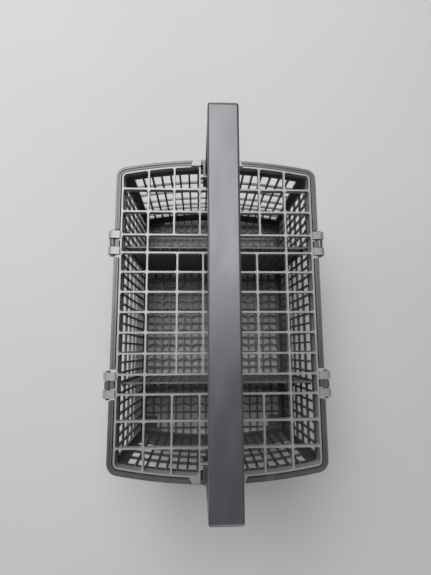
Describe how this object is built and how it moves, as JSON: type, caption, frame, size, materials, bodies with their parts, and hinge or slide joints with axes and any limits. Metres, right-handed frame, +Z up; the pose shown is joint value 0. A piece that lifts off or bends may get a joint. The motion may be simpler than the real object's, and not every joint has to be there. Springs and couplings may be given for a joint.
{
  "type": "dishwasher cutlery basket",
  "caption": "Grille basket for cutlery with hinged grille lids, upright dividers and a carrying handle over the middle.",
  "frame": {"origin": "middle of the basket's footprint, on the surface that its feet stand on", "axes": "+Z up; +Y along the basket and along the carrying handle; +X across, towards the right lid's hinges"},
  "size_m": [0.1646, 0.2408, 0.205],
  "materials": {
    "basket_plastic": "semi-matte moulded grey polypropylene",
    "handle_plastic": "semi-matte moulded grey polypropylene, fine grain",
    "lid_plastic": "semi-matte moulded grey polypropylene",
    "divider_plastic": "semi-matte moulded grey polypropylene"
  },
  "bodies": {
    "basket": {"right_rim_rail": "basket_plastic", "left_rim_rail": "basket_plastic", "rear_rim_rail": "basket_plastic", "front_rim_rail": "basket_plastic", "right_wall_grille": "basket_plastic", "left_wall_grille": "basket_plastic", "rear_wall_grille": "basket_plastic", "front_wall_grille": "basket_plastic", "floor_grille": "basket_plastic", "base_feet": "basket_plastic", "rear_divider": "divider_plastic", "front_divider": "divider_plastic", "rear_divider_guides": "basket_plastic", "front_divider_guides": "basket_plastic", "rear_handle_socket": "basket_plastic", "front_handle_socket": "basket_plastic", "carrying_handle_grip": "handle_plastic", "carrying_handle_rear_leg": "handle_plastic", "carrying_handle_front_leg": "handle_plastic", "corner_post_right_rear": "basket_plastic", "corner_post_left_rear": "basket_plastic", "corner_post_right_front": "basket_plastic", "corner_post_left_front": "basket_plastic", "hinge_bracket_right_rear": "basket_plastic", "hinge_bracket_left_rear": "basket_plastic", "hinge_bracket_right_front": "basket_plastic", "hinge_bracket_left_front": "basket_plastic", "hinge_pin_right_rear": "basket_plastic", "hinge_pin_left_rear": "basket_plastic", "hinge_pin_right_front": "basket_plastic", "hinge_pin_left_front": "basket_plastic"},
    "left_lid": {"left_lid_grille": "lid_plastic", "left_lid_hinge_clips": "lid_plastic", "left_lid_finger_tabs": "lid_plastic"},
    "right_lid": {"right_lid_grille": "lid_plastic", "right_lid_hinge_clips": "lid_plastic", "right_lid_finger_tabs": "lid_plastic"}
  },
  "joints": [
    {"name": "left_lid_hinge", "type": "hinge", "parent": "basket", "child": "left_lid", "pos_m": [-0.079, 0, 0.1185], "axis": [0, -1, 0], "range_deg": [0, 250]},
    {"name": "right_lid_hinge", "type": "hinge", "parent": "basket", "child": "right_lid", "pos_m": [0.079, 0, 0.1185], "axis": [0, 1, 0], "range_deg": [0, 250]}
  ]
}
